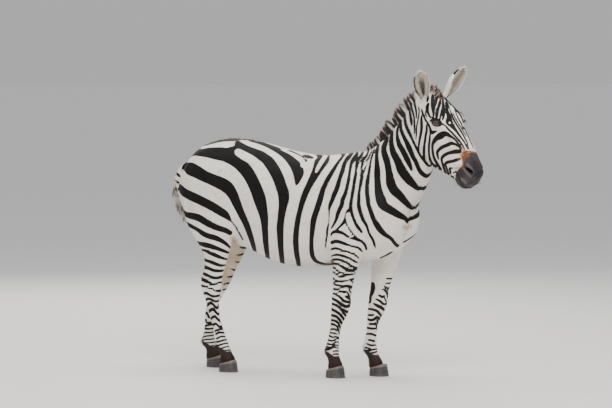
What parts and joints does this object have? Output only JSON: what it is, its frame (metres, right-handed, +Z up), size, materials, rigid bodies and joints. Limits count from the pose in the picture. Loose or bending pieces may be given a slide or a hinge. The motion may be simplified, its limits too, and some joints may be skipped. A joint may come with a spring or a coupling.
{
  "type": "zebra",
  "caption": "Life-size plains zebra standing on all four hooves, head turned to its right, with an upright mane, cupped ears and a tufted tail.",
  "frame": {"origin": "on the floor under the middle of the animal's bounding box", "axes": "+X forward along the trunk, +Y to the animal's left, +Z up"},
  "size_m": [2.1234, 0.5211, 1.7571],
  "materials": {
    "hide": "short flat coat, dark brown-black stripes on cream",
    "hair": "coarse long hair, dark with rust tips",
    "hoof": "worn horn, ringed",
    "eye": "wet and glossy"
  },
  "bodies": {
    "root": {"trunk": "hide", "neck": "hide", "head": "hide", "ear_right": "hide", "ear_left": "hide", "eye_right": "eye", "eye_left": "eye", "mane": "hair", "forelock": "hair", "fore_leg_right": "hide", "fore_leg_left": "hide", "hind_leg_right": "hide", "hind_leg_left": "hide", "fore_hoof_right": "hoof", "fore_hoof_left": "hoof", "hind_hoof_right": "hoof", "hind_hoof_left": "hoof", "tail": "hide", "tail_tassel": "hair"}
  },
  "joints": []
}
